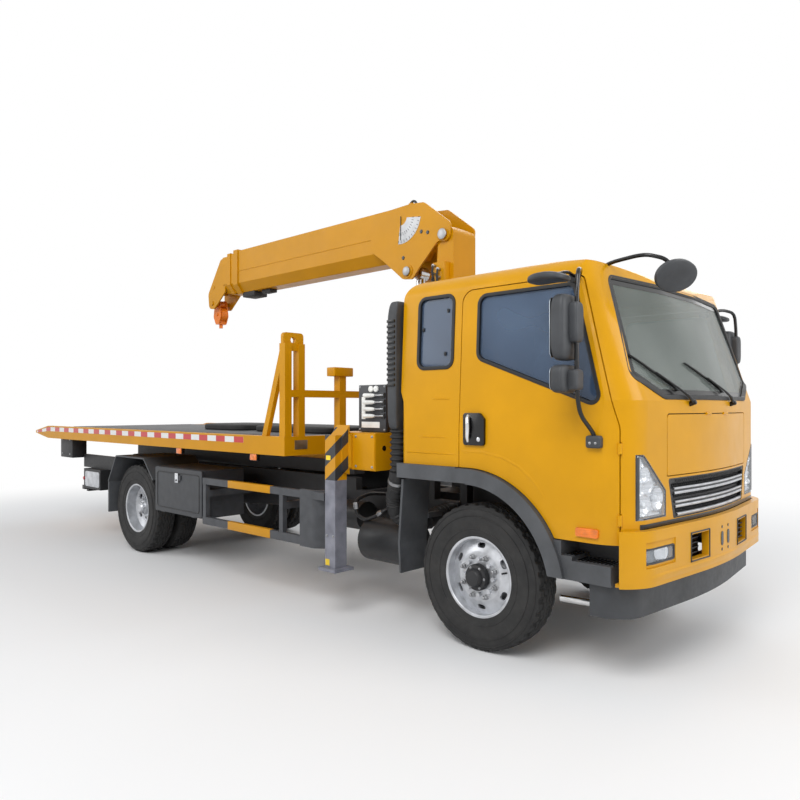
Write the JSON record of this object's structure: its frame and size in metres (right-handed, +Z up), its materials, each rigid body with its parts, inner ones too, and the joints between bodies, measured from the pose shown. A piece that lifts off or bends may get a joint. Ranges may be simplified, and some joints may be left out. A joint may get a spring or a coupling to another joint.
{
  "type": "flatbed recovery truck with crane",
  "caption": "Cab-over recovery truck with a sliding, tilting flatbed and a slewing telescopic crane with outriggers behind the cab.",
  "frame": {"origin": "on the ground under the middle of the truck's box", "axes": "+X forward along the truck, +Y to its left, +Z up"},
  "size_m": [8.5659, 2.79, 3.46],
  "materials": {
    "bare_steel": "ground steel",
    "body_yellow": "gloss cab paint",
    "chassis_black": "satin chassis paint",
    "clear_glass": "tinted safety glass",
    "crane_yellow": "gloss enamel",
    "dark_plastic": "grained plastic",
    "lamp_lens": "clear lens over a reflector",
    "leg_grey": "grey enamel with warning bands",
    "ram_black": "satin black",
    "tank_metal": "satin black",
    "trim_cloth": "seat cloth",
    "tyre_rubber": "matt rubber",
    "wheel_silver": "silver wheel paint"
  },
  "bodies": {
    "chassis": {"chassis_frame": "chassis_black", "axles": "chassis_black", "leaf_springs": "chassis_black", "driveline": "chassis_black", "tanks": "tank_metal", "mudguards": "dark_plastic", "side_guards": "chassis_black", "toolbox": "dark_plastic", "tail_frame": "chassis_black", "front_bumper": "body_yellow", "valance": "dark_plastic", "air_intake": "dark_plastic", "cab_floor": "body_yellow", "cab_back": "body_yellow", "cab_sides": "body_yellow", "cab_roof": "body_yellow", "cab_front": "body_yellow", "cab_glass": "clear_glass", "grille": "dark_plastic", "front_lamps": "lamp_lens", "wings_and_steps": "dark_plastic", "seats": "trim_cloth", "dashboard": "dark_plastic", "front_mirror": "dark_plastic", "crane_base": "crane_yellow", "crane_controls": "dark_plastic"},
    "door_right": {"door_right": "body_yellow", "door_glass_right": "clear_glass", "mirrors_right": "dark_plastic"},
    "door_left": {"door_left": "body_yellow", "door_glass_left": "clear_glass", "mirrors_left": "dark_plastic"},
    "front_flap": {"front_flap": "body_yellow"},
    "toolbox_door": {"toolbox_door": "dark_plastic"},
    "knuckle_right": {"knuckle_right": "chassis_black"},
    "knuckle_left": {"knuckle_left": "chassis_black"},
    "wheel_front_right": {"tyre_front_right": "tyre_rubber", "rim_front_right": "wheel_silver"},
    "wheel_front_left": {"tyre_front_left": "tyre_rubber", "rim_front_left": "wheel_silver"},
    "wheels_rear_right": {"tyres_rear_right": "tyre_rubber", "rims_rear_right": "wheel_silver"},
    "wheels_rear_left": {"tyres_rear_left": "tyre_rubber", "rims_rear_left": "wheel_silver"},
    "crane_column": {"crane_column": "crane_yellow"},
    "boom_base": {"boom_base": "crane_yellow"},
    "boom_middle": {"boom_middle": "crane_yellow"},
    "boom_tip": {"boom_tip": "crane_yellow"},
    "hook_block": {"hook_block": "crane_yellow"},
    "luff_barrel": {"luff_barrel": "ram_black"},
    "luff_rod": {"luff_rod": "bare_steel"},
    "outrigger_beam_right": {"outrigger_beam_right": "leg_grey"},
    "outrigger_beam_left": {"outrigger_beam_left": "leg_grey"},
    "outrigger_leg_right": {"outrigger_leg_right": "leg_grey"},
    "outrigger_leg_left": {"outrigger_leg_left": "leg_grey"},
    "tilt_frame": {"tilt_frame": "chassis_black"},
    "lift_barrels": {"lift_barrels": "ram_black"},
    "lift_rods": {"lift_rods": "bare_steel"},
    "deck": {"deck": "crane_yellow", "headboard": "crane_yellow"}
  },
  "joints": [
    {"name": "steer_right", "type": "hinge", "parent": "chassis", "child": "knuckle_right", "pos_m": [2.98, -0.735, 0.487], "axis": [0, 0, 1], "range_deg": [-35, 35]},
    {"name": "steer_left", "type": "hinge", "parent": "chassis", "child": "knuckle_left", "pos_m": [2.98, 0.735, 0.487], "axis": [0, 0, 1], "range_deg": [-36, 36]},
    {"name": "spin_front_right", "type": "hinge", "parent": "knuckle_right", "child": "wheel_front_right", "pos_m": [2.98, -0.9, 0.487], "axis": [0, 1, 0], "continuous": true},
    {"name": "spin_front_left", "type": "hinge", "parent": "knuckle_left", "child": "wheel_front_left", "pos_m": [2.98, 0.9, 0.487], "axis": [0, 1, 0], "continuous": true},
    {"name": "spin_rear_right", "type": "hinge", "parent": "chassis", "child": "wheels_rear_right", "pos_m": [-1.72, -0.94, 0.487], "axis": [0, 1, 0], "continuous": true},
    {"name": "spin_rear_left", "type": "hinge", "parent": "chassis", "child": "wheels_rear_left", "pos_m": [-1.72, 0.94, 0.487], "axis": [0, 1, 0], "continuous": true},
    {"name": "door_right_swing", "type": "hinge", "parent": "chassis", "child": "door_right", "pos_m": [4.007, -1.056, 1.18], "axis": [0, 0, 1], "range_deg": [0, 70]},
    {"name": "door_left_swing", "type": "hinge", "parent": "chassis", "child": "door_left", "pos_m": [4.007, 1.056, 1.18], "axis": [0, 0, -1], "range_deg": [0, 70]},
    {"name": "front_flap_lift", "type": "hinge", "parent": "chassis", "child": "front_flap", "pos_m": [4.164, 0, 1.572], "axis": [0, -1, 0], "range_deg": [0, 75]},
    {"name": "toolbox_door_drop", "type": "hinge", "parent": "chassis", "child": "toolbox_door", "pos_m": [-0.635, -1.14, 0.548], "axis": [1, 0, 0], "range_deg": [0, 90]},
    {"name": "crane_slew", "type": "hinge", "parent": "chassis", "child": "crane_column", "pos_m": [1.89, 0, 1.48], "axis": [0, 0, 1], "continuous": true},
    {"name": "boom_luff", "type": "hinge", "parent": "crane_column", "child": "boom_base", "pos_m": [2, 0, 3.07], "axis": [0, 1, 0], "range_deg": [0, 75]},
    {"name": "luff_barrel_swing", "type": "hinge", "parent": "crane_column", "child": "luff_barrel", "pos_m": [1.58, 0, 1.66], "axis": [0, 1, 0], "range_deg": [-0.5, 2.07]},
    {"name": "luff_rod_slide", "type": "slide", "parent": "luff_barrel", "child": "luff_rod", "axis": [0.0087, 0, 1], "range_m": [-0.01, 0.5998]},
    {"name": "boom_extend", "type": "slide", "parent": "boom_base", "child": "boom_middle", "axis": [-1, 0, 0], "range_m": [0, 2.2]},
    {"name": "boom_extend_tip", "type": "slide", "parent": "boom_middle", "child": "boom_tip", "axis": [-1, 0, 0], "range_m": [0, 2.21]},
    {"name": "hook_hang", "type": "hinge", "parent": "boom_tip", "child": "hook_block", "pos_m": [-1.66, 0, 2.86], "axis": [0, -1, 0], "range_deg": [0, 76]},
    {"name": "outrigger_right_out", "type": "slide", "parent": "chassis", "child": "outrigger_beam_right", "axis": [0, -1, 0], "range_m": [0, 0.85]},
    {"name": "outrigger_left_out", "type": "slide", "parent": "chassis", "child": "outrigger_beam_left", "axis": [0, 1, 0], "range_m": [0, 0.85]},
    {"name": "leg_right_down", "type": "slide", "parent": "outrigger_beam_right", "child": "outrigger_leg_right", "axis": [0, 0, -1], "range_m": [0, 0.37]},
    {"name": "leg_left_down", "type": "slide", "parent": "outrigger_beam_left", "child": "outrigger_leg_left", "axis": [0, 0, -1], "range_m": [0, 0.37]},
    {"name": "bed_tilt", "type": "hinge", "parent": "chassis", "child": "tilt_frame", "pos_m": [-3.02, 0, 0.94], "axis": [0, -1, 0], "range_deg": [0, 15]},
    {"name": "bed_slide", "type": "slide", "parent": "tilt_frame", "child": "deck", "axis": [-1, 0, 0], "range_m": [0, 3.5]},
    {"name": "lift_barrel_swing", "type": "hinge", "parent": "chassis", "child": "lift_barrels", "pos_m": [0.68, 0, 0.76], "axis": [0, 1, 0], "range_deg": [-0.5, 28.02]},
    {"name": "lift_rod_slide", "type": "slide", "parent": "lift_barrels", "child": "lift_rods", "axis": [-0.9777, 0, 0.2102], "range_m": [-0.01, 0.4173]}
  ],
  "couplings": [
    {"joint": "steer_left", "follows": "steer_right", "ratio": 1},
    {"joint": "luff_barrel_swing", "follows": "boom_luff", "ratio": 0.020913},
    {"joint": "luff_rod_slide", "follows": "boom_luff", "m_per_rad": 0.45059},
    {"joint": "boom_extend_tip", "follows": "boom_extend", "ratio": 1},
    {"joint": "hook_hang", "follows": "boom_luff", "ratio": 1},
    {"joint": "lift_barrel_swing", "follows": "bed_tilt", "ratio": 1.8347},
    {"joint": "lift_rod_slide", "follows": "bed_tilt", "m_per_rad": 1.5556}
  ]
}
